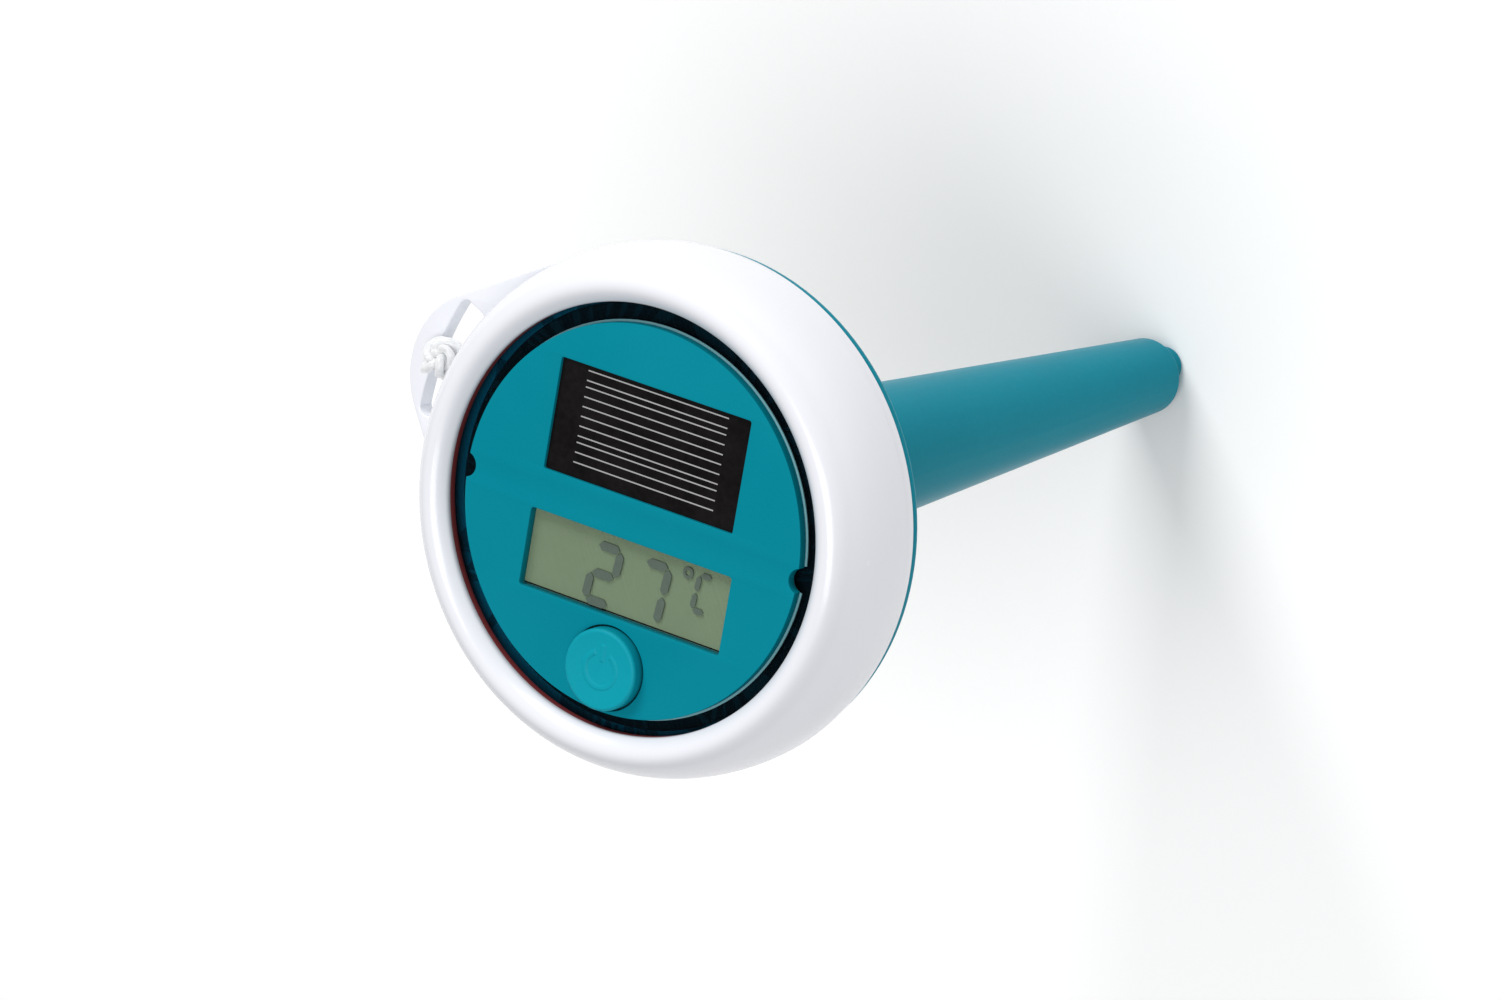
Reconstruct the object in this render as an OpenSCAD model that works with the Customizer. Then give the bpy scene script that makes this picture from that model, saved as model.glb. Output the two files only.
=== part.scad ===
// Floating pool thermometer with a solar cell, an LCD readout and one push button.
// Millimetres. +Z is up, out of the face. +X is to the right of the readout, +Y is its top.
// The origin is on the stem's axis, on the plane where the white ring meets the rear shell.

/* [Ring] */
// Radius of the ring's inner edge, in front of the seal
lip_r = 40; // [39.4:0.1:40.1]
// Radial half-thickness of the ring's rounded section
ring_half_r = 6.2; // [6.0:0.1:6.6]
// Half-height of the ring's rounded section
ring_half_z = 15.2; // [14.8:0.1:15.8]
// Depth of the plain band under the ridge line
band_step = 0.4; // [0.2:0.05:0.6]

/* [Tether lug] */
// Radius of the lug's rounded outer end
lug_r = 17.2; // [16.6:0.1:17.8]
// Distance of the lug's centre from the stem's axis
lug_reach = 45.4; // [45.0:0.1:46.4]
// Direction of the lug, counted from +X towards +Y
lug_angle = 166; // [150:1:180]
// Thickness of the lug
lug_thick = 4; // [3:0.25:4.5]

/* [Face] */
// Radius of the teal face plate
plate_r = 36.5; // [35.5:0.1:37]
// Height of the solar cell's window
solar_h = 21.4; // [20.4:0.2:21.8]
// Width of the solar cell's window
solar_w = 41.7; // [38:0.1:42]
// Width of the readout's window
lcd_w = 44.4; // [43.4:0.1:44.8]
// Width of one silver finger on the solar cell
finger_w = 0.24; // [0.2:0.02:0.6]

/* [Button] */
// Radius of the push button
cap_r = 7.7; // [7:0.1:7.9]
// Gap between the button and its hole in the face plate
cap_gap = 0.35; // [0.3:0.05:0.5]
// How far the button goes in
press_travel = 0.9; // [0.5:0.1:0.9]

/* [Stem] */
// Outer radius of the stem, 76 mm under the ring's plane
stem_mid_r = 12.55; // [12.25:0.05:12.8]
// Height of the stem's flat end
stem_end_z = -171.2; // [-173:0.2:-170]
// Wall thickness of the stem
stem_wall = 1.8; // [1.6:0.1:1.9]
// Length of the ballast slug
ballast_len = 34; // [20:1:60]

/* [Tether] */
// Diameter of the clear nylon tether
cord_d = 1.6; // [1.4:0.1:1.6]
// Turns of spare tether wound round the stem's neck
wind_turns = 8; // [5:1:10]

/* [Hidden] */

$fn = 96;
ring_r = 43.2;
ring_z = 6.8;
skirt_r = 42.25;
skirt_out = 44.3;
lip_z = 18.8;
hollow_r = ring_half_r - 2.2;
hollow_z = ring_half_z - 2.2;
ridge_z = 3.4;
thread_z = [5, 8, 11];
tube_out = 42;
tube_in = 39.6;
flange_r = 47.9;
flange_z = -3.5;
neck_z = -13.4;
taper = 0.0505;
shoulder_z = -14;
tip_shift = 3;
tip_angle = 50.5;
nub_z = stem_end_z - 3.6;
cavity_r = 5.5;
deck_z = 15;
deck_top = 17;
film_top = 17.25;
pane_top = 18.5;
plate_top = 19.2;
board_z = 8;
board_top = 9.6;
solar_c = [0.7, 14.6];
lcd_c = [0.84, -11.4];
lcd_h = 15;
cap_c = [0.2, -28.5];
cap_top = 21.6;
hole_r = cap_r + cap_gap;
well_r = 8.6;
well_z = 15.8;
boss_z = 13.5;
clip_z = 12.2;
posts = [[-24, 24], [24, 24], [-27, -20], [28, -20]];
lead_spots = [[-15, 21], [16, 21]];
slot_mid = 54.6;
slot_half = 3;
wind_z = -17.6;
wind_len = wind_turns * cord_d;

// Points along an elliptical arc in the radius and height plane.
function arc(cr, cz, ar, az, from, to, steps) =
  [for (i = [0 : steps]) let (t = from + (to - from) * i / steps)
    [cr + ar * cos(t), cz + az * sin(t)]];

function stem_r(z) = stem_mid_r + taper * (z + 76);
function polar(r, a) = [r * cos(a), r * sin(a)];

module at_tip() {
  translate([tip_shift * cos(tip_angle), tip_shift * sin(tip_angle), 0]) children();
}

module turned(points) {
  rotate_extrude($fn = 128) polygon(points);
}

module ring_torus(major, minor) {
  rotate_extrude($fn = 48) translate([major, 0]) circle(r = minor, $fn = 24);
}

module slab(size, r, z0, z1) {
  translate([0, 0, z0])
    linear_extrude(z1 - z0)
      union() {
        square([size[0] - 2 * r, size[1]], center = true);
        square([size[0], size[1] - 2 * r], center = true);
        for (x = [-1, 1], y = [-1, 1])
          translate([x * (size[0] / 2 - r), y * (size[1] / 2 - r)]) circle(r = r, $fn = 24);
      }
}

// ---------- ring with its tether lug ----------
module lug_outline() {
  tilt = acos((49.3 - lug_r) / lug_reach);
  near = polar(49.3, tilt);
  far = [lug_reach + lug_r * cos(tilt), lug_r * sin(tilt)];
  difference() {
    union() {
      translate([lug_reach, 0]) circle(r = lug_r, $fn = 128);
      polygon([[20, near[1]], near, far, [far[0], -far[1]], [near[0], -near[1]], [20, -near[1]]]);
    }
    circle(r = 47.9, $fn = 128);
  }
}

module slot_outline() {
  intersection() {
    difference() {
      circle(r = slot_mid + slot_half, $fn = 128);
      circle(r = slot_mid - slot_half, $fn = 128);
    }
    polygon([[0, 0], polar(80, 155), polar(80, 166), polar(80, 177)]);
  }
  difference() {
    intersection() {
      circle(r = slot_mid + 1.4, $fn = 128);
      polygon([[0, 0], polar(80, 153.3), polar(80, 166), polar(80, 178.7)]);
    }
    circle(r = slot_mid - 1.4, $fn = 128);
  }
  for (a = [155, 177], r = [slot_mid - 1.4, slot_mid + 1.4])
    translate(polar(r, a)) circle(r = 1.6, $fn = 32);
}

module bezel_ring() {
  low = asin((ridge_z - ring_z) / ring_half_z);
  foot = asin(-ring_z / ring_half_z);
  inner_end = 180 - acos((ring_r - lip_r) / ring_half_r);
  hollow_end = acos((skirt_out - ring_r) / hollow_r);
  hollow_foot = asin(-ring_z / hollow_z);
  band = arc(ring_r - band_step, ring_z, ring_half_r, ring_half_z, foot, low - 0.8, 3);
  outside = arc(ring_r, ring_z, ring_half_r, ring_half_z, low, inner_end, 34);
  grooves = [for (i = [2 : -1 : 0]) let (z = thread_z[i])
    each [[skirt_r, z + 1], [42.95, z + 0.5], [42.95, z - 0.5], [skirt_r, z - 1]]];
  hollow = arc(ring_r, ring_z, hollow_r, hollow_z, hollow_end, hollow_foot, 16);
  color([0.95, 0.95, 0.97]) {
    difference() {
      union() {
        turned(concat(band, outside, [[lip_r, lip_z], [skirt_r, lip_z]], grooves,
          [[skirt_r, 2], [skirt_out, 2]], hollow));
        translate([0, 0, 2])
          linear_extrude(lug_thick)
            rotate(lug_angle) lug_outline();
      }
      translate([0, 0, 1])
        linear_extrude(lug_thick + 2)
          rotate(lug_angle - 166) slot_outline();
    }
  }
}

// ---------- rear shell: threaded tube, flange and dished back ----------
module rear_shell() {
  threads = [for (i = [2 : -1 : 0]) let (z = thread_z[i])
    each [[tube_out, z + 0.6], [42.7, z + 0.25], [42.7, z - 0.25], [tube_out, z - 0.6]]];
  edge = arc(flange_r - 1.9, flange_z + 1.9, 1.9, 1.9, 0, -90, 8);
  color([0.02, 0.5, 0.6])
    turned(concat(
      [[tube_in, deck_z], [tube_out, deck_z]], threads,
      [[tube_out, 0], [flange_r, 0]], edge,
      [[40.6, flange_z], [38.6, -4.3], [18.2, -12.6], [16.6, neck_z], [14.25, neck_z]],
      [[14.25, -11.2], [16.34, -11.2], [38.6, -2.14], [tube_in, -1.2]],
      [[tube_in, 11], [38.4, 12.4], [38.4, 13], [tube_in, 13]]));
}

// ---------- stem ----------
module stem_tube() {
  end_r = 1;
  end_z = stem_end_z + end_r;
  rim = stem_r(end_z);
  floor_z = stem_end_z + 3;
  color([0.02, 0.5, 0.6])
    difference() {
      turned(concat(
        [[14.15, -6], [14.15, shoulder_z], [stem_r(shoulder_z), shoulder_z]],
        arc(rim - end_r, end_z, end_r, end_r, 0, -90, 8),
        [[0, stem_end_z], [0, floor_z], [cavity_r, floor_z], [cavity_r, -158]],
        [[stem_r(-158) - stem_wall, -158], [stem_r(-19) - stem_wall, -19], [12.35, -17], [12.35, -6]]));
      at_tip() translate([0, 0, stem_end_z - 1]) cylinder(r = 2.45, h = 6, $fn = 64);
    }
}

module sensor_sleeve() {
  spigot_z = stem_end_z + 5;
  color([0.02, 0.47, 0.56])
    at_tip()
      rotate_extrude($fn = 64)
        polygon(concat(
          [[0, nub_z]],
          arc(3.9 - 0.9, nub_z + 0.9, 0.9, 0.9, -90, 0, 6),
          [[3.9, stem_end_z], [2.4, stem_end_z], [2.4, spigot_z], [1.6, spigot_z]],
          [[1.6, nub_z + 1.2], [0, nub_z + 1.2]]));
}

module thermistor() {
  color([0.12, 0.12, 0.13])
    at_tip()
      translate([0, 0, nub_z + 1.2])
        rotate_extrude($fn = 48)
          polygon(concat([[0, 0], [1.5, 0]], arc(0.9, 3.4, 0.6, 0.6, 0, 90, 6), [[0, 4]]));
}

module sensor_leads() {
  start = nub_z + 5.2;
  color([0.75, 0.1, 0.08])
    at_tip()
      for (s = [-1, 1])
        translate([-0.6 * s * sin(tip_angle), 0.6 * s * cos(tip_angle), start])
          cylinder(r = 0.5, h = board_z - start, $fn = 24);
}

module ballast_weight() {
  color([0.45, 0.45, 0.47])
    difference() {
      turned([[0, -158], [5.9, -158], [6.15, -157.7], [6.15, -158.3 + ballast_len],
        [5.9, -158 + ballast_len], [0, -158 + ballast_len]]);
      at_tip() translate([0, 0, -159]) cylinder(r = 1.6, h = ballast_len + 2, $fn = 48);
    }
}

module ballast_clip() {
  base = -158 + ballast_len;
  outer = stem_r(base) - stem_wall - 0.03;
  color([0.7, 0.7, 0.72])
    difference() {
      turned([[4.7, base], [outer, base], [outer, base + 1.4], [4.7, base + 1.4]]);
      translate([0, -1, base - 1]) cube([20, 2, 4]);
    }
}

module stem_seal() {
  color([0.06, 0.06, 0.06])
    turned([[14.3, shoulder_z], [15.3, shoulder_z], [15.3, neck_z], [14.3, neck_z]]);
}

module stem_nut() {
  color([0.85, 0.85, 0.84])
    difference() {
      turned([[14.2, -11.2], [16.2, -11.2], [16.2, -6.8], [15.8, -6.4], [14.2, -6.4]]);
      for (a = [0 : 60 : 300])
        rotate(a) translate([14, -1.5, -8.6]) cube([4, 3, 4]);
    }
}

module shell_seal() {
  color([0.06, 0.06, 0.06])
    rotate_extrude($fn = 128) translate([43.25, 0.98]) circle(r = 0.95, $fn = 24);
}

module rim_seal() {
  color([0.38, 0.14, 0.15])
    rotate_extrude($fn = 128) translate([41.1, 17.9]) circle(r = 0.88, $fn = 24);
}

// ---------- face stack ----------
module stack_holes(z0, z1, cap_hole) {
  for (s = [-1, 1])
    translate([lcd_c[0], lcd_c[1] + 6.2 * s, 0]) slab([40.6, 2.4], 0.4, z0, z1);
  for (p = lead_spots)
    translate([p[0], p[1], z0]) cylinder(r = 0.8, h = z1 - z0, $fn = 24);
  translate([cap_c[0], cap_c[1], z0]) cylinder(r = cap_hole, h = z1 - z0, $fn = 64);
}

module clear_deck() {
  color([0.75, 0.85, 0.9, 0.35])
    difference() {
      union() {
        translate([0, 0, deck_z]) cylinder(r = tube_out, h = deck_top - deck_z, $fn = 128);
        translate([cap_c[0], cap_c[1], boss_z]) cylinder(r = 8.9, h = 2, $fn = 64);
      }
      stack_holes(deck_z - 5, deck_top + 1, 3.08);
      translate([cap_c[0], cap_c[1], well_z]) cylinder(r = well_r, h = 3, $fn = 64);
    }
}

module inner_tray() {
  color([0.03, 0.03, 0.04])
    difference() {
      union() {
        translate([0, 0, 13]) cylinder(r = 39.4, h = 2, $fn = 128);
        for (p = posts)
          translate([p[0], p[1], board_top]) cylinder(r = 3, h = 4, $fn = 48);
      }
      stack_holes(12, 16, 9.1);
      for (p = posts)
        translate([p[0], p[1], board_top - 1]) cylinder(r = 1.3, h = 4.4, $fn = 32);
    }
}

module pane_pockets(z0, z1) {
  translate([solar_c[0], solar_c[1], 0]) slab([solar_w + 1.8, solar_h + 1.8], 0.9, z0, z1);
  translate([lcd_c[0], lcd_c[1], 0]) slab([lcd_w + 2.2, lcd_h], 0.6, z0, z1);
}

module plate_film() {
  color([0.78, 0.78, 0.88])
    difference() {
      translate([0, -0.4, deck_top]) cylinder(r = plate_r + 0.4, h = film_top - deck_top, $fn = 128);
      pane_pockets(deck_top - 1, film_top + 1);
      translate([cap_c[0], cap_c[1], deck_top - 1]) cylinder(r = hole_r, h = 3, $fn = 64);
      for (s = [-1, 1])
        translate([s * (plate_r + 0.6), -0.4, deck_top - 1]) cylinder(r = 2.6, h = 3, $fn = 48);
    }
}

module face_plate() {
  color([0.0, 0.49, 0.58])
    difference() {
      translate([0, -0.4, film_top]) cylinder(r = plate_r, h = plate_top - film_top, $fn = 128);
      pane_pockets(film_top - 1, pane_top);
      translate([solar_c[0], solar_c[1], 0]) slab([solar_w, solar_h], 0.5, 17, 20);
      translate([lcd_c[0], lcd_c[1], 0]) slab([lcd_w, lcd_h], 0.6, 17, 20);
      translate([cap_c[0], cap_c[1], 16]) cylinder(r = hole_r, h = 5, $fn = 64);
      for (s = [-1, 1])
        translate([s * (plate_r + 0.6), -0.4, 16]) cylinder(r = 2.4, h = 5, $fn = 48);
    }
}

module solar_cell() {
  color([0.05, 0.04, 0.06])
    translate([solar_c[0], solar_c[1], 0])
      slab([solar_w + 1.6, solar_h + 1.6], 0.8, deck_top, pane_top);
}

module cell_fingers() {
  gaps = [0, 1.87, 1.25, 1.87, 1.87, 1.87, 1.87, 1.87, 1.25, 1.87, 1.87];
  first = solar_c[1] + solar_h / 2 - 1.1;
  left = solar_c[0] - solar_w / 2 + 5.7;
  right = solar_c[0] + solar_w / 2 - 5.1;
  color([0.8, 0.8, 0.82])
    for (i = [0 : 10]) {
      drop = [for (k = [0 : i]) gaps[k]];
      translate([left, first - drop * [for (k = [0 : i]) 1] - finger_w / 2, pane_top])
        cube([right - left, finger_w, 0.06]);
    }
}

module cell_leads() {
  color([0.75, 0.1, 0.08])
    for (p = lead_spots)
      translate([p[0], p[1], board_top]) cylinder(r = 0.5, h = deck_top - board_top, $fn = 24);
}

// ---------- readout ----------
module lcd_pane(z0, z1, inset) {
  translate([lcd_c[0], lcd_c[1], 0]) slab([lcd_w + 2 - inset, lcd_h - 0.1 - inset], 0.5, z0, z1);
}

module lcd_glass() {
  color([0.8, 0.85, 0.8, 0.3]) lcd_pane(17.7, pane_top, 0);
}

module lcd_back_glass() {
  color([0.6, 0.68, 0.6, 0.5]) lcd_pane(17.3, 17.62, 0);
}

module lcd_reflector() {
  color([0.44, 0.49, 0.42]) lcd_pane(deck_top, 17.3, 0.6);
}

module lcd_connectors() {
  color([0.1, 0.1, 0.1])
    for (s = [-1, 1])
      translate([lcd_c[0], lcd_c[1] + 6.2 * s, 0]) slab([40, 2], 0.3, board_top, deck_top);
}

// A bar with pointed ends, from one end to the other.
module segment(len, w) {
  polygon([[0, 0], [w / 2, w / 2], [len - w / 2, w / 2], [len, 0],
    [len - w / 2, -w / 2], [w / 2, -w / 2]]);
}

// One seven-segment digit. Order: top, upper right, lower right, bottom, lower left, upper left, middle.
module digit(on, w, h, s) {
  gap = 0.22;
  inner_w = w - s;
  half_h = (h - s) / 2;
  for (i = [0, 3, 6])
    if (on[i])
      translate([gap, i == 0 ? 2 * half_h : i == 3 ? 0 : half_h]) segment(inner_w - 2 * gap, s);
  for (i = [1, 2, 4, 5])
    if (on[i])
      translate([i < 3 ? inner_w : 0, gap + (i == 1 || i == 5 ? half_h : 0)])
        rotate(90) segment(half_h - 2 * gap, s);
}

// A slanted copy of its children. The slant of five degrees is a plain shear.
module slanted() {
  multmatrix([[1, 0.087, 0, 0], [0, 1, 0, 0], [0, 0, 1, 0]]) children();
}

module lcd_segments() {
  low_left = lcd_c - [lcd_w / 2, lcd_h / 2];
  color([0.2, 0.24, 0.22])
    translate([low_left[0], low_left[1], 17.62])
      linear_extrude(0.08) {
        translate([0.305 * lcd_w, 1.25]) slanted() digit([1, 1, 0, 1, 1, 0, 1], 6.9, 12.4, 1.7);
        translate([0.545 * lcd_w, 1.25]) slanted() digit([1, 1, 1, 0, 0, 0, 0], 6.9, 12.4, 1.7);
        translate([0.774 * lcd_w, 0.837 * lcd_h])
          difference() {
            circle(r = 1.15, $fn = 32);
            circle(r = 0.55, $fn = 32);
          }
        translate([0.818 * lcd_w, 0.41 * lcd_h]) slanted() digit([1, 0, 0, 1, 1, 1, 0], 3.9, 7.9, 1.1);
      }
}

// ---------- circuit board ----------
module circuit_board() {
  color([0.05, 0.3, 0.12])
    difference() {
      translate([0, 0, board_z]) cylinder(r = 37.5, h = board_top - board_z, $fn = 128);
      for (p = posts)
        translate([p[0], p[1], board_z - 1]) cylinder(r = 1.4, h = 4, $fn = 32);
    }
}

module controller_chip() {
  color([0.06, 0.06, 0.07]) {
    translate([0, -12, 0]) slab([10, 10], 0.3, board_z - 1.5, board_z - 0.3);
    for (a = [0 : 90 : 270], i = [-4 : 4])
      translate([0, -12, 0]) rotate(a)
        translate([4.9, i - 0.2, board_z - 0.5]) cube([1.3, 0.4, 0.5]);
  }
}

module board_parts() {
  color([0.2, 0.2, 0.25])
    for (p = [[-8, 26], [2, 26], [22, 8], [-24, 6]])
      translate([p[0], p[1], board_top]) cylinder(r = 2.2, h = 2.8, $fn = 32);
  color([0.3, 0.28, 0.25])
    for (p = [[-30, 10], [-30, 4], [30, 6], [30, 0], [12, 30], [10, 2], [-10, 2], [0, 10]])
      translate([p[0], p[1], board_top]) cube([2.4, 1.3, 0.7]);
}

module backup_cell() {
  color([0.75, 0.75, 0.77])
    translate([0, 18, 0])
      turned([[0, 4.4], [8.6, 4.4], [8.9, 4.7], [9.6, 4.7], [10, 5.1], [10, 7.2], [9.6, 7.6], [0, 7.6]]);
}

module cell_clip() {
  color([0.72, 0.7, 0.6])
    translate([0, 18, 0]) {
      translate([-11.3, -3, 7.6]) cube([22.6, 6, 0.4]);
      translate([-11.3, -3, 3.9]) cube([22.6, 6, 0.45]);
      for (x = [-11.3, 10.8]) translate([x, -3, 3.9]) cube([0.5, 6, 4.1]);
    }
}

module board_screws() {
  color([0.7, 0.7, 0.72])
    for (p = posts)
      translate([p[0], p[1], 0])
        difference() {
          union() {
            translate([0, 0, 6.2]) cylinder(r = 2.6, h = 1.8, $fn = 48);
            translate([0, 0, 7.9]) cylinder(r = 1.2, h = 4.6, $fn = 32);
          }
          translate([0, 0, 6]) cube([3.4, 0.6, 1.8], center = true);
          translate([0, 0, 6]) cube([0.6, 3.4, 1.8], center = true);
        }
}

// ---------- button ----------
module button_cap() {
  mark_z = 21.42;
  color([0.0, 0.6, 0.7])
    translate([cap_c[0], cap_c[1], 0]) {
      difference() {
        rotate_extrude($fn = 96)
          polygon(concat(
            [[0, clip_z], [3.9, clip_z], [3.9, clip_z + 0.6], [3.4, clip_z + 1.1], [3, clip_z + 1.1]],
            [[3, 18.4], [cap_r - 0.2, 18.4], [cap_r, 18.6]],
            arc(cap_r - 0.7, cap_top - 0.7, 0.7, 0.7, 0, 90, 8),
            [for (i = [8 : -1 : 0]) let (r = (cap_r - 0.7) * i / 8)
              [r, 21.15 + 0.45 * pow(i / 8, 2)]]));
        translate([0, 0, clip_z - 1]) cylinder(r = 1.2, h = 5, $fn = 32);
      }
      translate([0, 0, 21])
        linear_extrude(mark_z - 21) {
          difference() {
            circle(r = 3.8, $fn = 64);
            circle(r = 2.9, $fn = 64);
            polygon([[0, 0], [-3.2, 6], [3.2, 6]]);
          }
          translate([-0.45, 1.6]) square([0.9, 3.2]);
        }
    }
}

module button_boot() {
  color([0.08, 0.08, 0.09])
    translate([cap_c[0], cap_c[1], 0])
      rotate_extrude($fn = 96)
        polygon([[5.2, well_z], [8.4, well_z], [8.4, 16.5], [7.5, 16.5], [6.6, 17.6], [6.2, 18.38],
          [3.6, 18.38], [3.6, 17.8], [5.4, 17.8], [5.9, 17.2], [6.4, 16.4], [5.2, 16.4]]);
}

module switch_body() {
  stop_z = clip_z - press_travel - 0.2;
  color([0.12, 0.12, 0.13])
    difference() {
      translate([cap_c[0] - 3, cap_c[1] - 3, board_top]) cube([6, 6, stop_z - board_top]);
      translate([cap_c[0], cap_c[1], 10]) cylinder(r = 1.8, h = 4, $fn = 48);
    }
}

module switch_plunger() {
  color([0.8, 0.78, 0.7])
    translate([cap_c[0], cap_c[1], 10.95]) cylinder(r = 1.75, h = clip_z - 10.95, $fn = 48);
}

// ---------- tether ----------
module tether_knot() {
  spot = polar(54.2, 164.5);
  color([0.93, 0.94, 0.95])
    translate([spot[0], spot[1], 0]) rotate(167) {
      translate([0, 0, 7.85]) ring_torus(2.85, 1.8);
      translate([0, 0, 9.4]) rotate([0, 34, 0]) ring_torus(2.7, 1.7);
      translate([0.2, 1.7, 9.4]) rotate([40, 0, 20]) ring_torus(2.5, 1.55);
      translate([0, 0, 9.2]) sphere(r = 2.9, $fn = 48);
    }
}

route = [
  [-52.2, 14.5, 9], [-52.2, 14.5, 6], [-52.2, 14.5, 3], [-52.2, 14.5, 0.6], [-51.9, 14.4, -1.6],
  [-50.8, 14, -3.6], [-48.6, 13.6, -5.2], [-44, 13.2, -7], [-36, 13.2, -9.3], [-27, 13.6, -11.6],
  [-18, 14.3, -13.8], [-9.5, 15.4, -15.9], [-1.4, 16.7, -17.6], [5.6, 15.7, -18.4], [9.8, 13.4, -18.5]
];

// A smooth curve through the route's points.
function curve(p0, p1, p2, p3, t) =
  0.5 * (2 * p1 + (p2 - p0) * t + (2 * p0 - 5 * p1 + 4 * p2 - p3) * t * t
    + (3 * p1 - p0 - 3 * p2 + p3) * t * t * t);
last = len(route) - 1;
path = [for (i = [0 : last - 1], s = [0 : 1])
  curve(route[max(i - 1, 0)], route[i], route[i + 1], route[min(i + 2, last)], s / 2)];
line = concat(path, [route[last]]);
ends = len(line) - 1;

function unit(v) = v / norm(v);
function along(i) = unit(line[min(i + 1, ends)] - line[max(i - 1, 0)]);
function side(i) = unit(cross(along(i), [0.2, 1, 0.1]));

module tether_cord() {
  sides = 8;
  rings = [for (i = [0 : ends], k = [0 : sides - 1])
    let (a = 360 * k / sides, u = side(i), v = cross(along(i), u))
      line[i] + cord_d / 2 * (cos(a) * u + sin(a) * v)];
  walls = [for (i = [0 : ends - 1], k = [0 : sides - 1])
    let (n = (k + 1) % sides)
      [i * sides + k, i * sides + n, (i + 1) * sides + n, (i + 1) * sides + k]];
  first_cap = [for (k = [sides - 1 : -1 : 0]) k];
  last_cap = [for (k = [0 : sides - 1]) ends * sides + k];
  color([0.93, 0.94, 0.95])
    polyhedron(points = rings, faces = concat([first_cap], walls, [last_cap]), convexity = 6);
}

module tether_winding() {
  rad = cord_d / 2;
  outline = [for (i = [0 : wind_turns - 1]) let (z = wind_z - (i + 0.5) * cord_d)
    each [for (a = [75 : -25 : -75]) [stem_r(z) + 0.05 + rad + rad * cos(a), z + rad * sin(a)]]];
  color([0.93, 0.94, 0.95])
    turned(concat([[stem_r(wind_z) + 0.05, wind_z]], outline,
      [[stem_r(wind_z - wind_len) + 0.05, wind_z - wind_len]]));
}

module tether_end_knot() {
  z = wind_z - wind_len - 1.2;
  spot = polar(stem_r(z) + 2.5, 206);
  color([0.93, 0.94, 0.95])
    translate([spot[0], spot[1], z]) {
      rotate([90, 0, 116]) ring_torus(1.2, 0.85);
      sphere(r = 1.7, $fn = 32);
    }
}

bezel_ring();
rear_shell();
stem_tube();
sensor_sleeve();
clear_deck();
rim_seal();
face_plate();
plate_film();
inner_tray();
solar_cell();
cell_fingers();
cell_leads();
lcd_glass();
lcd_segments();
lcd_back_glass();
lcd_reflector();
lcd_connectors();
circuit_board();
controller_chip();
board_parts();
backup_cell();
cell_clip();
button_cap();
button_boot();
switch_body();
switch_plunger();
board_screws();
shell_seal();
stem_seal();
stem_nut();
thermistor();
sensor_leads();
ballast_weight();
ballast_clip();
tether_knot();
tether_cord();
tether_winding();
tether_end_knot();
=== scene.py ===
import math

import bmesh
import bpy
from mathutils import Matrix, Vector


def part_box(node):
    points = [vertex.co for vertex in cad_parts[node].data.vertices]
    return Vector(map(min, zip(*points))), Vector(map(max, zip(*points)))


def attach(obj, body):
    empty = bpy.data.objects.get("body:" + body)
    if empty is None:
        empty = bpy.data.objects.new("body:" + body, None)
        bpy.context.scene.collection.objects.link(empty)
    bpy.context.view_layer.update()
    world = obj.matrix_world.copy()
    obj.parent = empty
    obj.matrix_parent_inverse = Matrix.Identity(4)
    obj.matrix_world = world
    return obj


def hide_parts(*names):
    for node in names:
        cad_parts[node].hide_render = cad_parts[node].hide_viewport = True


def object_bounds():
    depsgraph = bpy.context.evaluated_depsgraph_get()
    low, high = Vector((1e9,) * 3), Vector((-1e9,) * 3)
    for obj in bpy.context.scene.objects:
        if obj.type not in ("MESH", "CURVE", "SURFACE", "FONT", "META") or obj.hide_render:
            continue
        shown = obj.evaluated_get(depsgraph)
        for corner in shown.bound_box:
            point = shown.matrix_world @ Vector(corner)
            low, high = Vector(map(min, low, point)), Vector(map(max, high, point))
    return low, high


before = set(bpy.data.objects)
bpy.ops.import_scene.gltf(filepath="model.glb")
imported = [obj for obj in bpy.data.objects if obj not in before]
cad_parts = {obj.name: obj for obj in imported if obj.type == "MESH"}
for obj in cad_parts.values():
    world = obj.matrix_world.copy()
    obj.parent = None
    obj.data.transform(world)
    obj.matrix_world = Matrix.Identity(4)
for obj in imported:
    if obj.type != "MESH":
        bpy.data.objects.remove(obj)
cad_low, cad_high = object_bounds()
scene = bpy.context.scene
MM = 0.001


# ---------- camera ----------
camera_data = bpy.data.cameras.new("camera")
camera = bpy.data.objects.new("camera", camera_data)
scene.collection.objects.link(camera)
camera_data.sensor_width = 36
camera_data.lens = 168
camera_data.clip_start = 0.05
camera_data.clip_end = 50
right = Vector((0.82565, 0.1655, -0.53936)).normalized()
back = Vector((0.4845, 0.28184, 0.82815)).normalized()
up = back.cross(right).normalized()
right = up.cross(back)
view_axes = Matrix((right, up, back)).transposed().to_4x4()
view_axes.translation = Vector((0.63145, 0.36456, 1.05747))
camera.matrix_world = view_axes
scene.camera = camera


# ---------- places taken from the CAD model ----------
def middle(node):
    low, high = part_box(node)
    return (low + high) / 2


def sizes(node):
    low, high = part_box(node)
    return high - low


plate_low, plate_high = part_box("face_plate")
plate_mid = middle("face_plate")
plate_r = sizes("face_plate").y / 2
cap_mid = middle("button_cap")
cap_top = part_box("button_cap")[1].z
cap_r = sizes("button_cap").x / 2
solar_mid = middle("solar_cell")
solar_size = sizes("solar_cell")
lcd_mid = middle("lcd_glass")
lcd_size = sizes("lcd_glass")
seal_mid = middle("rim_seal")


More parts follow.
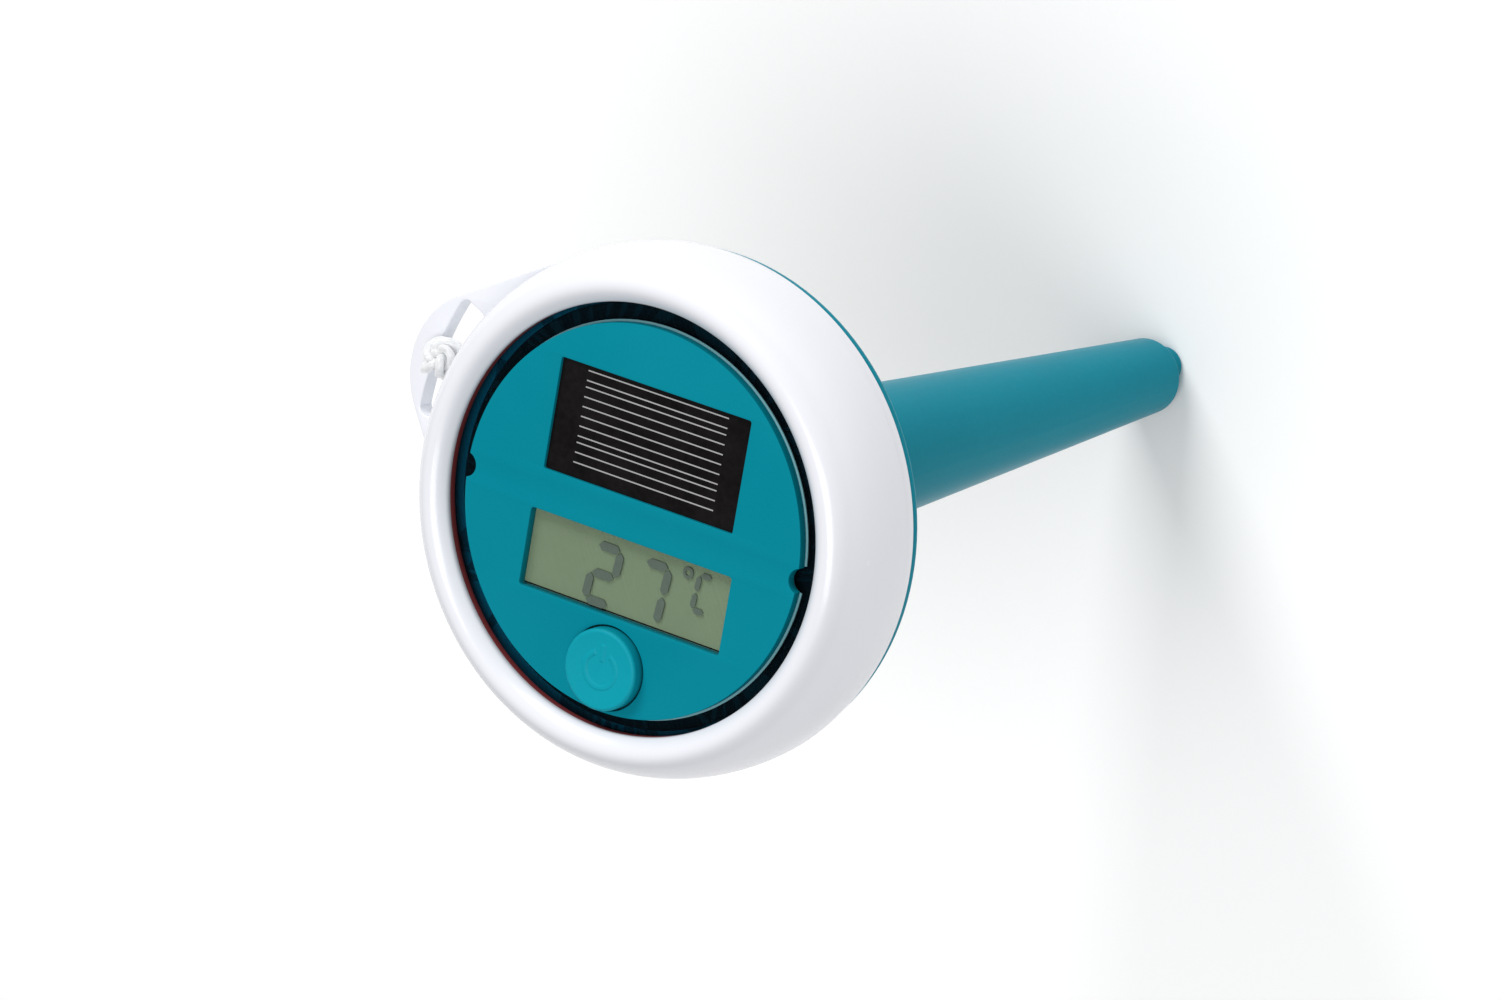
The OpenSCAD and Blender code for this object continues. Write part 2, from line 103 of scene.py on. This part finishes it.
# ---------- mesh helpers ----------
def add(name, mesh, *nodes, material, sharp, body="housing"):
    """Piece that rides a body and takes the place of the named CAD nodes; sharp is in degrees."""
    obj = bpy.data.objects.new(name, mesh)
    scene.collection.objects.link(obj)
    for polygon in mesh.polygons:
        polygon.use_smooth = True
    mesh.set_sharp_from_angle(angle=math.radians(sharp))
    mesh.materials.clear()
    mesh.materials.append(material)
    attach(obj, body)
    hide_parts(*nodes)
    return obj


def revolve(name, profile, steps):
    """A closed outline of (radius, height) points, in millimetres, turned about Z."""
    bm = bmesh.new()
    rings = []
    for k in range(steps):
        a = 2 * math.pi * k / steps
        ring = []
        for r, z in profile:
            ring.append(bm.verts.new((r * math.cos(a) * MM, r * math.sin(a) * MM, z * MM)))
        rings.append(ring)
    n = len(profile)
    for k in range(steps):
        a, b = rings[k], rings[(k + 1) % steps]
        for i in range(n):
            j = (i + 1) % n
            bm.faces.new((a[i], b[i], b[j], a[j]))
    bmesh.ops.remove_doubles(bm, verts=bm.verts, dist=1e-7)
    bmesh.ops.recalc_face_normals(bm, faces=bm.faces)
    mesh = bpy.data.meshes.new(name)
    bm.to_mesh(mesh)
    bm.free()
    return mesh


def arc(cr, cz, ar, az, start, end, steps):
    """Points along an ellipse's arc: centre, half-axes, and start and end in degrees."""
    out = []
    for i in range(steps + 1):
        t = math.radians(start + (end - start) * i / steps)
        out.append((cr + ar * math.cos(t), cz + az * math.sin(t)))
    return out


def slab(name, loops, z0, z1, bevel):
    """Flat piece with rounded edges, in millimetres. The first outline is the outside, the others are holes."""
    curve = bpy.data.curves.new(name + "_outline", "CURVE")
    curve.dimensions = "2D"
    curve.fill_mode = "BOTH"
    for loop in loops:
        spline = curve.splines.new("POLY")
        spline.points.add(len(loop) - 1)
        for point, (x, y) in zip(spline.points, loop):
            point.co = (x * MM, y * MM, 0, 1)
        spline.use_cyclic_u = True
    curve.extrude = (z1 - z0) / 2 * MM - bevel * MM
    curve.bevel_depth = bevel * MM
    curve.bevel_resolution = 3
    curve.offset = -bevel * MM
    maker = bpy.data.objects.new(name + "_maker", curve)
    scene.collection.objects.link(maker)
    bpy.context.view_layer.update()
    graph = bpy.context.evaluated_depsgraph_get()
    mesh = bpy.data.meshes.new_from_object(maker.evaluated_get(graph))
    mesh.name = name
    bpy.data.objects.remove(maker)
    bpy.data.curves.remove(curve)
    mesh.transform(Matrix.Translation((0, 0, (z0 + z1) / 2 * MM)))
    bm = bmesh.new()
    bm.from_mesh(mesh)
    bmesh.ops.remove_doubles(bm, verts=bm.verts, dist=2e-7)
    bm.to_mesh(mesh)
    bm.free()
    return mesh


def circle(cx, cy, r, steps, start=0.0, end=360.0, closed=True):
    """Points round a circle, or along an arc with both of its ends when it isn't closed."""
    count = steps if closed else steps + 1
    return [
        (
            cx + r * math.cos(math.radians(start + (end - start) * i / steps)),
            cy + r * math.sin(math.radians(start + (end - start) * i / steps)),
        )
        for i in range(count)
    ]


def rectangle(cx, cy, w, h, r, steps=6):
    """Outline of a rectangle with rounded corners."""
    out = []
    for sx, sy, a0 in ((1, 1, 0), (-1, 1, 90), (-1, -1, 180), (1, -1, 270)):
        out += circle(cx + sx * (w / 2 - r), cy + sy * (h / 2 - r), r, steps, a0, a0 + 90, False)
    return out


def tube(name, pts, radius, sides=12):
    """A round tube with blunt ends, along points in metres."""
    end_bulge = 0.35
    bm = bmesh.new()
    rings = []
    side = None
    for i, p in enumerate(pts):
        ahead = (pts[min(i + 1, len(pts) - 1)] - pts[max(i - 1, 0)]).normalized()
        if side is None:
            side = ahead.orthogonal().normalized()
        side = (side - ahead * side.dot(ahead)).normalized()
        other = ahead.cross(side)
        rings.append(
            [
                bm.verts.new(
                    p
                    + radius
                    * (
                        math.cos(2 * math.pi * k / sides) * side
                        + math.sin(2 * math.pi * k / sides) * other
                    )
                )
                for k in range(sides)
            ]
        )
    for a, b in zip(rings, rings[1:]):
        for k in range(sides):
            n = (k + 1) % sides
            bm.faces.new((a[k], a[n], b[n], b[k]))
    for ring, away in ((rings[0], pts[0] - pts[1]), (rings[-1], pts[-1] - pts[-2])):
        middle_of_ring = sum((v.co for v in ring), Vector()) / sides
        top = bm.verts.new(middle_of_ring + away.normalized() * radius * end_bulge)
        for k in range(sides):
            bm.faces.new((ring[k], ring[(k + 1) % sides], top))
    bmesh.ops.recalc_face_normals(bm, faces=bm.faces)
    mesh = bpy.data.meshes.new(name)
    bm.to_mesh(mesh)
    bm.free()
    return mesh


# ---------- materials ----------
def material(
    name,
    colour,
    rough=0.4,
    metal=0.0,
    coat=0.0,
    vary=0.05,
    rough_vary=0.06,
    bump=0.02,
    fine=900.0,
    broad=40.0,
    specular=0.5,
    subsurface=0.0,
    stretch=(1, 1, 1),
):
    """Surface whose colour and roughness drift with a broad noise, with a fine grain in its relief."""
    m = bpy.data.materials.new(name)
    m.use_nodes = True
    nodes, links = m.node_tree.nodes, m.node_tree.links
    shader = nodes["Principled BSDF"]
    where = nodes.new("ShaderNodeTexCoord")
    mapping = nodes.new("ShaderNodeMapping")
    mapping.inputs["Scale"].default_value = stretch
    links.new(where.outputs["Object"], mapping.inputs["Vector"])
    wide = nodes.new("ShaderNodeTexNoise")
    wide.inputs["Scale"].default_value = broad
    wide.inputs["Detail"].default_value = 5
    grain = nodes.new("ShaderNodeTexNoise")
    grain.inputs["Scale"].default_value = fine
    grain.inputs["Detail"].default_value = 3
    links.new(mapping.outputs["Vector"], wide.inputs["Vector"])
    links.new(mapping.outputs["Vector"], grain.inputs["Vector"])
    both = nodes.new("ShaderNodeMix")
    both.data_type = "FLOAT"
    both.inputs["Factor"].default_value = 0.45
    links.new(wide.outputs["Fac"], both.inputs[2])
    links.new(grain.outputs["Fac"], both.inputs[3])
    ramp = nodes.new("ShaderNodeValToRGB")
    low = [max(0.0, c * (1 - vary)) for c in colour]
    high = [min(1.0, c * (1 + vary) + 0.002) for c in colour]
    ramp.color_ramp.elements[0].position = 0.3
    ramp.color_ramp.elements[0].color = (*low, 1)
    ramp.color_ramp.elements[1].position = 0.7
    ramp.color_ramp.elements[1].color = (*high, 1)
    links.new(both.outputs[0], ramp.inputs["Fac"])
    links.new(ramp.outputs["Color"], shader.inputs["Base Color"])
    spread = nodes.new("ShaderNodeMapRange")
    spread.inputs["To Min"].default_value = max(0.02, rough - rough_vary)
    spread.inputs["To Max"].default_value = min(1.0, rough + rough_vary)
    links.new(wide.outputs["Fac"], spread.inputs["Value"])
    links.new(spread.outputs["Result"], shader.inputs["Roughness"])
    relief = nodes.new("ShaderNodeBump")
    relief.inputs["Strength"].default_value = bump
    relief.inputs["Distance"].default_value = 0.0002
    links.new(grain.outputs["Fac"], relief.inputs["Height"])
    links.new(relief.outputs["Normal"], shader.inputs["Normal"])
    shader.inputs["Metallic"].default_value = metal
    shader.inputs["Coat Weight"].default_value = coat
    shader.inputs["Coat Roughness"].default_value = 0.08
    shader.inputs["Specular IOR Level"].default_value = specular
    shader.inputs["IOR"].default_value = 1.5
    shader.inputs["Subsurface Weight"].default_value = subsurface
    shader.inputs["Subsurface Radius"].default_value = (0.004, 0.004, 0.004)
    shader.inputs["Subsurface Scale"].default_value = 1.0
    return m


def clear(name, tint, body=(0.03, 0.034, 0.036), rough=0.04, edge=0.1, haze=0.0):
    """See-through plastic or glass that lets light straight through and shines at a grazing angle."""
    m = material(name, body, rough=rough, vary=0.03, bump=0.002, rough_vary=0.02, specular=0.8)
    nodes, links = m.node_tree.nodes, m.node_tree.links
    shader = nodes["Principled BSDF"]
    out = nodes["Material Output"]
    through = nodes.new("ShaderNodeBsdfTransparent")
    through.inputs["Color"].default_value = (*tint, 1)
    gloss = nodes.new("ShaderNodeLayerWeight")
    gloss.inputs["Blend"].default_value = edge
    add_haze = nodes.new("ShaderNodeMath")
    add_haze.operation = "ADD"
    add_haze.inputs[1].default_value = haze
    links.new(gloss.outputs["Facing"], add_haze.inputs[0])
    mix = nodes.new("ShaderNodeMixShader")
    links.new(add_haze.outputs["Value"], mix.inputs["Fac"])
    links.new(through.outputs["BSDF"], mix.inputs[1])
    links.new(shader.outputs["BSDF"], mix.inputs[2])
    links.new(mix.outputs["Shader"], out.inputs["Surface"])
    return m


white = material(
    "white_shell", (0.8, 0.81, 0.86), rough=0.26, coat=0.2, vary=0.004, bump=0.003, fine=600, rough_vary=0.03
)
teal_shell = material(
    "teal_shell", (0.0, 0.23, 0.31), rough=0.3, vary=0.05, bump=0.006, fine=700, specular=0.03
)
teal_plate = material(
    "teal_plate", (0.0, 0.215, 0.285), rough=0.55, vary=0.04, bump=0.02, fine=2600, specular=0.04
)
teal_button = material(
    "teal_button", (0.0, 0.3, 0.38), rough=0.5, vary=0.05, bump=0.02, fine=2200, specular=0.12
)
teal_rubber = material("teal_rubber", (0.0, 0.1, 0.14), rough=0.6, vary=0.1, bump=0.05, fine=1500)
clear_plastic = clear("clear_plastic", (0.45, 0.62, 0.68), rough=0.08)
clear_glass = clear("clear_glass", (0.97, 0.98, 0.96), rough=0.05, edge=0.07)
red_rubber = material("red_rubber", (0.2, 0.03, 0.032), rough=0.42, vary=0.18, bump=0.03, fine=1800)
black_rubber = material(
    "black_rubber", (0.012, 0.012, 0.013), rough=0.62, vary=0.2, bump=0.12, fine=1600
)
black_plastic = material(
    "black_plastic", (0.0, 0.045, 0.058), rough=0.4, vary=0.12, bump=0.0, specular=0.2
)
film = material("adhesive_film", (0.16, 0.36, 0.4), rough=0.5, vary=0.05, bump=0.02)
solar = material(
    "solar_black", (0.005, 0.004, 0.0045), rough=0.26, vary=0.5, bump=0.0, broad=120,
    rough_vary=0.03, specular=0.12,
)
silver = material(
    "silver_print", (0.36, 0.36, 0.36), rough=0.5, vary=0.15, bump=0.05, fine=5000, specular=0.3
)
ink = material("readout_ink", (0.105, 0.14, 0.12), rough=0.6, vary=0.08, bump=0.01)
reflector = material(
    "readout_grey", (0.26, 0.33, 0.24), rough=0.55, vary=0.04, bump=0.02, fine=5200, broad=90, specular=0.2
)
board = material(
    "board_green", (0.01, 0.11, 0.035), rough=0.4, coat=0.2, vary=0.15, bump=0.06, fine=1400
)
chip = material("chip_black", (0.012, 0.012, 0.013), rough=0.55, vary=0.2, bump=0.08, fine=3500)
part_body = material("part_body", (0.03, 0.03, 0.05), rough=0.4, vary=0.2, bump=0.04)
steel = material(
    "bright_steel", (0.56, 0.56, 0.58), rough=0.28, metal=1.0, vary=0.08, bump=0.05, fine=3000,
    stretch=(1, 1, 12),
)
lead = material("lead_red", (0.42, 0.015, 0.012), rough=0.42, vary=0.1, bump=0.03)
white_nylon = material(
    "white_nylon", (0.72, 0.72, 0.69), rough=0.5, vary=0.04, bump=0.05, subsurface=0.1
)
iron = material(
    "ballast_iron", (0.16, 0.16, 0.165), rough=0.55, metal=0.8, vary=0.2, bump=0.25, fine=900
)
nylon = clear("nylon", (0.96, 0.97, 0.98), body=(0.96, 0.97, 0.98), rough=0.1, edge=0.2, haze=0.5)

node_material = {
    "bezel_ring": white, "rear_shell": teal_shell, "stem_tube": teal_shell, "sensor_sleeve": teal_shell,
    "clear_deck": clear_plastic, "rim_seal": red_rubber, "face_plate": teal_plate, "plate_film": film,
    "inner_tray": black_plastic, "solar_cell": solar, "cell_fingers": silver, "cell_leads": lead,
    "lcd_glass": clear_glass, "lcd_segments": ink, "lcd_back_glass": clear_glass, "lcd_reflector": reflector,
    "lcd_connectors": black_rubber, "circuit_board": board, "controller_chip": chip, "board_parts": part_body,
    "backup_cell": steel, "cell_clip": steel, "button_cap": teal_button, "button_boot": teal_rubber,
    "switch_body": chip, "switch_plunger": white_nylon, "board_screws": steel, "shell_seal": black_rubber,
    "stem_seal": black_rubber, "stem_nut": white_nylon, "thermistor": chip, "sensor_leads": lead,
    "ballast_weight": iron, "ballast_clip": steel, "tether_knot": nylon, "tether_cord": nylon,
    "tether_winding": nylon, "tether_end_knot": nylon,
}
for name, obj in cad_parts.items():
    obj.data.materials.clear()
    obj.data.materials.append(node_material[name])


# ---------- tether ----------
stem_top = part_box("stem_tube")[1]
stem_drop = -8 * MM  # from the tube's top to where its taper starts
stem_taper = 0.0505
cord_d = 1.6 * MM
cord_r = cord_d / 2
turns = 8
turns_start = (-1.4, 16.7, -17.6)
turns_step = 12  # degrees between points
turns_slack = 0.05 * MM
end_gap = 22  # degrees left for the stop knot


def stem_r(z):
    """The stem's outer radius in metres at a height in metres."""
    return stem_top.x + stem_taper * (z - stem_top.z - stem_drop)


def smooth(points, steps):
    """A Catmull-Rom curve through points."""
    out = []
    n = len(points)
    for i in range(n - 1):
        p0, p1, p2, p3 = points[max(i - 1, 0)], points[i], points[i + 1], points[min(i + 2, n - 1)]
        for s in range(steps):
            t = s / steps
            out.append(
                0.5
                * (
                    2 * p1
                    + (p2 - p0) * t
                    + (2 * p0 - 5 * p1 + 4 * p2 - p3) * t * t
                    + (3 * p1 - p0 - 3 * p2 + p3) * t**3
                )
            )
    out.append(points[-1])
    return out


knot_mid = middle("tether_knot")
end_mid = middle("tether_end_knot")
knot_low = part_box("tether_knot")[0]
route = [
    Vector(p) * MM
    for p in (
        (-52.2, 14.5, 9), (-52.2, 14.5, 6), (-52.2, 14.5, 3), (-52.2, 14.5, 0.6), (-51.9, 14.4, -1.6),
        (-50.8, 14, -3.6), (-48.6, 13.6, -5.2), (-44, 13.2, -7), (-36, 13.2, -9.3), (-27, 13.6, -11.6),
        (-18, 14.3, -13.8), (-9.5, 15.4, -15.9), turns_start,
    )
]
start_a = math.degrees(math.atan2(turns_start[1], turns_start[0]))
end_a = math.degrees(math.atan2(end_mid.y, end_mid.x)) % 360 - 360
helix = []
sweep = start_a - end_a - end_gap + 360 * (turns - 1)
count = int(sweep / turns_step)
for i in range(1, count + 1):
    a = start_a - sweep * i / count
    z = turns_start[2] * MM - (sweep * i / count) / 360 * cord_d
    r = stem_r(z) + cord_r + turns_slack
    helix.append(Vector((r * math.cos(math.radians(a)), r * math.sin(math.radians(a)), z)))
path = smooth(route, 4) + helix + smooth([helix[-2], helix[-1], end_mid], 5)[6:]
tether = add(
    "tether_line",
    tube("tether_line", path, cord_r, 12),
    "tether_cord",
    "tether_winding",
    material=nylon,
    sharp=60,
)


def knot_points(major, minor, height, p, q, steps):
    """A loop that winds p times about its axis and q times in and out, in millimetres."""
    out = []
    for i in range(steps):
        t = 2 * math.pi * i / steps
        w = major + minor * math.cos(q * t)
        out.append(Vector((w * math.cos(p * t), w * math.sin(p * t), height * math.sin(q * t))))
    return out


def closed_tube(name, pts, radius, sides=14):
    """A round tube along a closed loop of points, turned evenly so that its ends meet."""
    n = len(pts)
    bm = bmesh.new()
    rings = []
    side = None
    for i, p in enumerate(pts):
        ahead = (pts[(i + 1) % n] - pts[i - 1]).normalized()
        if side is None:
            side = ahead.orthogonal().normalized()
            first = side.copy()
        side = (side - ahead * side.dot(ahead)).normalized()
        rings.append((p, ahead, side.copy()))
    ahead0 = rings[0][1]
    end_side = (side - ahead0 * side.dot(ahead0)).normalized()
    twist = math.atan2(end_side.cross(first).dot(ahead0), end_side.dot(first))
    made = []
    for i, (p, ahead, s) in enumerate(rings):
        turn = twist * i / n
        s = (Matrix.Rotation(turn, 3, ahead) @ s).normalized()
        o = ahead.cross(s)
        made.append(
            [
                bm.verts.new(p + radius * (math.cos(a) * s + math.sin(a) * o))
                for a in (2 * math.pi * k / sides for k in range(sides))
            ]
        )
    for i in range(n):
        a, b = made[i], made[(i + 1) % n]
        for k in range(sides):
            j = (k + 1) % sides
            bm.faces.new((a[k], a[j], b[j], b[k]))
    bmesh.ops.recalc_face_normals(bm, faces=bm.faces)
    mesh = bpy.data.meshes.new(name)
    bm.to_mesh(mesh)
    bm.free()
    return mesh


def place(points, centre, turn):
    """Points in millimetres, turned and set about a centre in metres."""
    return [centre + turn.to_3x3() @ (p * MM) for p in points]


def joined(name, meshes):
    """One mesh from several."""
    bm = bmesh.new()
    for mesh in meshes:
        bm.from_mesh(mesh)
    out = bpy.data.meshes.new(name)
    bm.to_mesh(out)
    bm.free()
    for mesh in meshes:
        bpy.data.meshes.remove(mesh)
    return out


spin = Matrix.Rotation(math.radians(167), 4, "Z")
knot_base = Vector((knot_mid.x, knot_mid.y, knot_low.z))
parts = [
    closed_tube(
        "knot_a",
        place(knot_points(2.3, 1.25, 1.3, 2, 3, 160), knot_base + Vector((0, 0, 2.35 * MM)), spin),
        1.0 * MM,
    ),
    closed_tube(
        "knot_b",
        place(
            knot_points(2.2, 1.0, 1.1, 2, 5, 200),
            knot_base + Vector((0, 0, 3.9 * MM)),
            spin @ Matrix.Rotation(math.radians(30), 4, "Y") @ Matrix.Rotation(math.radians(18), 4, "X"),
        ),
        0.8 * MM,
    ),
    closed_tube(
        "knot_c",
        place(
            knot_points(1.0, 0.5, 0.9, 2, 3, 96),
            knot_base + Vector((0, 0, 3.4 * MM)),
            spin @ Matrix.Rotation(math.radians(80), 4, "X"),
        ),
        0.8 * MM,
    ),
]
tail = [
    knot_base + spin.to_3x3() @ (Vector(p) * MM)
    for p in ((0.4, 0.2, 3.0), (1.4, 1.6, 3.9), (2.2, 3.0, 4.0), (2.6, 4.1, 3.3))
]
parts.append(tube("knot_tail", smooth(tail, 6), 0.8 * MM, 12))
knot = add("tether_knot_loops", joined("tether_knot_loops", parts), "tether_knot", material=nylon, sharp=60)

end_turn = Matrix.Rotation(math.radians(206), 4, "Z") @ Matrix.Rotation(math.radians(90), 4, "Y")
end_loop = place(knot_points(1.0, 0.4, 0.6, 2, 3, 96), end_mid, end_turn)
end_mesh = joined("tether_stop_knot", [closed_tube("end_a", end_loop, 0.64 * MM, 10)])
end_knot = add("tether_stop_knot", end_mesh, "tether_end_knot", material=nylon, sharp=60)

# ---------- white ring and its lug ----------
profile = (
    arc(42.8, 6.8, 6.2, 15.2, -26.5, -13.6, 6)
    + [(48.95, 3.3), (49.12, 3.36)]
    + arc(43.2, 6.8, 6.2, 15.2, -12.2, 118.6, 90)
    + [(40.16, 20.02), (40.05, 19.8), (40.0, 19.5), (40.0, 19.0), (40.05, 18.86), (40.2, 18.8)]
    + [(42.25, 18.8), (42.25, 2.0), (44.3, 2.0), (44.3, 19.3)]
    + arc(43.2, 6.8, 4.0, 13.0, 74, -31.5, 20)
)
ring = add("ring_moulding", revolve("ring_moulding", profile, 320), "bezel_ring", material=white, sharp=24)

lug_a = math.radians(166)
lug_reach, lug_r, hug_r, root_r = 45.4, 17.2, 49.3, 48.1
tilt = math.acos((hug_r - lug_r) / lug_reach)


def turned(points, a):
    """Points turned about the origin by an angle in radians."""
    return [(x * math.cos(a) - y * math.sin(a), x * math.sin(a) + y * math.cos(a)) for x, y in points]


outer = [
    (lug_reach + lug_r * math.cos(t), lug_r * math.sin(t))
    for t in [-tilt + 2 * tilt * i / 72 for i in range(73)]
]
inner = [(root_r * math.cos(t), root_r * math.sin(t)) for t in [tilt - 2 * tilt * i / 60 for i in range(61)]]
near = (hug_r * math.cos(tilt), hug_r * math.sin(tilt))
lug_loop = turned([(near[0], -near[1])] + outer + [near] + inner, lug_a)


def band(r0, r1, a0, a1, corner, inset=1.7):
    """Outline of a curved slot, its rounded corners centred inset degrees in from its ends."""

    def corners(*places):
        out = []
        for r, a, start in places:
            cx, cy = r * math.cos(math.radians(a)), r * math.sin(math.radians(a))
            out += circle(cx, cy, corner, 8, a + start, a + start + 90, False)[1:]
        return out

    low, high = a0 + inset, a1 - inset
    out = circle(0, 0, r1, 40, low, high, False)
    out += corners((r1 - corner, high, 0), (r0 + corner, high, 90))
    out += circle(0, 0, r0, 40, high, low, False)
    out += corners((r0 + corner, low, 180), (r1 - corner, low, 270))
    return out[:-1]


lug = add(
    "lug_moulding",
    slab("lug_moulding", [lug_loop, band(51.6, 57.6, 153.3, 178.7, 1.6)], 2.0, 6.0, 0.35),
    "bezel_ring",
    material=white,
    sharp=12,
)

# ---------- red-brown seal, squeezed flat between the lip and the clear deck ----------
seal_centre_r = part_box("rim_seal")[1].x / MM - 0.96
seal_z = seal_mid.z / MM
seal_half_w, seal_half_h, seal_power, seal_points = 0.94, 0.86, 0.45, 32


def squared(value):
    """A sine or cosine pushed outwards, which turns a round outline into a squared one."""
    return math.copysign(abs(value) ** seal_power, value)


seal_profile = []
for i in range(seal_points):
    t = 2 * math.pi * i / seal_points
    seal_profile.append(
        (seal_centre_r + seal_half_w * squared(math.cos(t)), seal_z + seal_half_h * squared(math.sin(t)))
    )
seal_mesh = revolve("seal_moulding", seal_profile, 256)
seal = add("seal_moulding", seal_mesh, "rim_seal", material=red_rubber, sharp=60)

# ---------- face plate ----------
px, py = plate_mid.x / MM, plate_mid.y / MM
pr = plate_r / MM
notch_r, notch_out = 2.4, 0.6
notch_place = pr + notch_out
half = math.degrees(math.acos((pr**2 + notch_place**2 - notch_r**2) / (2 * pr * notch_place)))
y_end = pr * math.sin(math.radians(half))
x_end = notch_place - pr * math.cos(math.radians(half))
reach = math.degrees(math.atan2(y_end, x_end))
edge = []
for a in (0, 180):
    edge += circle(px, py, pr, 110, a + half, a + 180 - half, False)
    cx = px + notch_place * math.cos(math.radians(a + 180))
    edge += circle(cx, py, notch_r, 20, a + 360 + reach, a + 360 - reach, False)[1:-1]
sx, sy = solar_mid.x / MM, solar_mid.y / MM
sw, sh = solar_size.x / MM - 1.6, solar_size.y / MM - 1.6
lx, ly = lcd_mid.x / MM, lcd_mid.y / MM
lw, lh = lcd_size.x / MM - 2.0, lcd_size.y / MM + 0.1
bx, by = cap_mid.x / MM, cap_mid.y / MM
button_gap = 0.35
plate = add(
    "face_moulding",
    slab(
        "face_moulding",
        [
            edge,
            rectangle(sx, sy, sw, sh, 0.5),
            rectangle(lx, ly, lw, lh, 0.6),
            circle(bx, by, cap_r / MM + button_gap, 128),
        ],
        plate_low.z / MM,
        plate_high.z / MM,
        0.14,
    ),
    "face_plate",
    material=teal_plate,
    sharp=12,
)


# ---------- push button ----------
mark_r, mark_half_w, mark_gap_a, mark_soft, mark_h = 3.35, 0.42, 28, 0.5, 0.14
bar_mid, bar_half = 3.2, 1.6
cap_depth, cap_edge, dish_depth = 3.2, 0.7, 0.45
stalk_r, catch_r = 3.0, 3.9
catch_tip_z, catch_edge_z, stalk_low_z = 13.3, 12.8, 12.2


def mark_height(x, y):
    """Raised ring with a gap at the top, and a bar through the gap, in millimetres."""
    a = abs(math.degrees(math.atan2(x, y)))
    ring_d = abs(math.hypot(x, y) - mark_r) - mark_half_w
    gap_d = (mark_gap_a - a) * math.pi / 180 * mark_r
    bar_d = max(abs(x) - mark_half_w, abs(y - bar_mid) - bar_half)
    d = min(max(ring_d, gap_d), bar_d)
    t = min(1.0, max(0.0, 0.5 - d / mark_soft))
    return mark_h * t * t * (3 - 2 * t)


def cap_mesh(name):
    """Dished cap with its mark, a thin stalk under it and a catch on the stalk's end."""
    steps, dish_steps = 256, 90
    r_cap, z_top = cap_r / MM, cap_top / MM
    low = z_top - cap_depth
    bm = bmesh.new()

    def ring_at(r, z, marked=False):
        ring = []
        for k in range(steps):
            a = 2 * math.pi * k / steps
            x, y = r * math.cos(a), r * math.sin(a)
            height = z + mark_height(x, y) if marked else z
            ring.append(bm.verts.new(((bx + x) * MM, (by + y) * MM, height * MM)))
        return ring

    outline = [(r_cap - 0.25, low), (r_cap - 0.07, low + 0.07), (r_cap, low + 0.25)]
    outline += arc(r_cap - cap_edge, z_top - cap_edge, cap_edge, cap_edge, 0, 84, 10)
    r_dish, z_dish = outline[-1]
    rings = [ring_at(r, z) for r, z in outline]
    for i in range(1, dish_steps):
        u = 1 - i / dish_steps
        rings.append(ring_at(r_dish * u, z_dish - dish_depth * (1 - u * u) ** 1.1, marked=True))
    for a, b in zip(rings, rings[1:]):
        for k in range(steps):
            n = (k + 1) % steps
            bm.faces.new((a[k], a[n], b[n], b[k]))
    centre = bm.verts.new((bx * MM, by * MM, (z_dish - dish_depth) * MM))
    for k in range(steps):
        bm.faces.new((rings[-1][k], rings[-1][(k + 1) % steps], centre))

    above = rings[0]
    for r, z in (
        (stalk_r, low), (stalk_r, catch_tip_z), (catch_r, catch_edge_z), (catch_r, stalk_low_z),
    ):
        below = ring_at(r, z)
        for k in range(steps):
            n = (k + 1) % steps
            bm.faces.new((above[k], below[k], below[n], above[n]))
        above = below
    foot = bm.verts.new((bx * MM, by * MM, stalk_low_z * MM))
    for k in range(steps):
        bm.faces.new((above[k], foot, above[(k + 1) % steps]))
    bmesh.ops.recalc_face_normals(bm, faces=bm.faces)
    mesh = bpy.data.meshes.new(name)
    bm.to_mesh(mesh)
    bm.free()
    return mesh


cap = add(
    "button_moulding",
    cap_mesh("button_moulding"),
    "button_cap",
    body="button",
    material=teal_button,
    sharp=50,
)

# ---------- floor, light ----------
lowest = cad_low.z
span = 6.0
floor_mesh = bpy.data.meshes.new("floor")
floor_points = [(x * span, y * span, lowest) for x, y in ((-1, -1), (1, -1), (1, 1), (-1, 1))]
floor_mesh.from_pydata(floor_points, [], [(0, 1, 2, 3)])
floor = bpy.data.objects.new("floor", floor_mesh)
scene.collection.objects.link(floor)
pale = material("pale_floor", (1.0, 1.0, 1.0), rough=0.8, vary=0.01, bump=0.0, specular=0.1, broad=3)
floor_mesh.materials.append(pale)

world = bpy.data.worlds.new("studio")
scene.world = world
world.use_nodes = True
world.node_tree.nodes["Background"].inputs["Color"].default_value = (1, 1, 1, 1)
world.node_tree.nodes["Background"].inputs["Strength"].default_value = 0.3


def softbox(name, direction, distance, size, power, target=(0, 0, -0.02)):
    """Rectangular lamp that faces its target; sizes in metres and power in watts."""
    light = bpy.data.lights.new(name, "AREA")
    light.shape = "RECTANGLE"
    light.size, light.size_y = size
    light.energy = power
    obj = bpy.data.objects.new(name, light)
    scene.collection.objects.link(obj)
    d = Vector(direction).normalized()
    obj.location = Vector(target) + d * distance
    obj.rotation_mode = "QUATERNION"
    obj.rotation_quaternion = d.to_track_quat("Z", "Y")
    return obj


softbox("key_light", (-0.35, 0.85, 0.6), 3.0, (1.6, 1.2), 56)
softbox("front_light", (0.3, -0.02, 1.0), 3.2, (2.0, 2.0), 58)
scene.view_settings.view_transform = "Standard"
scene.view_settings.look = "None"
scene.view_settings.exposure = 0.0
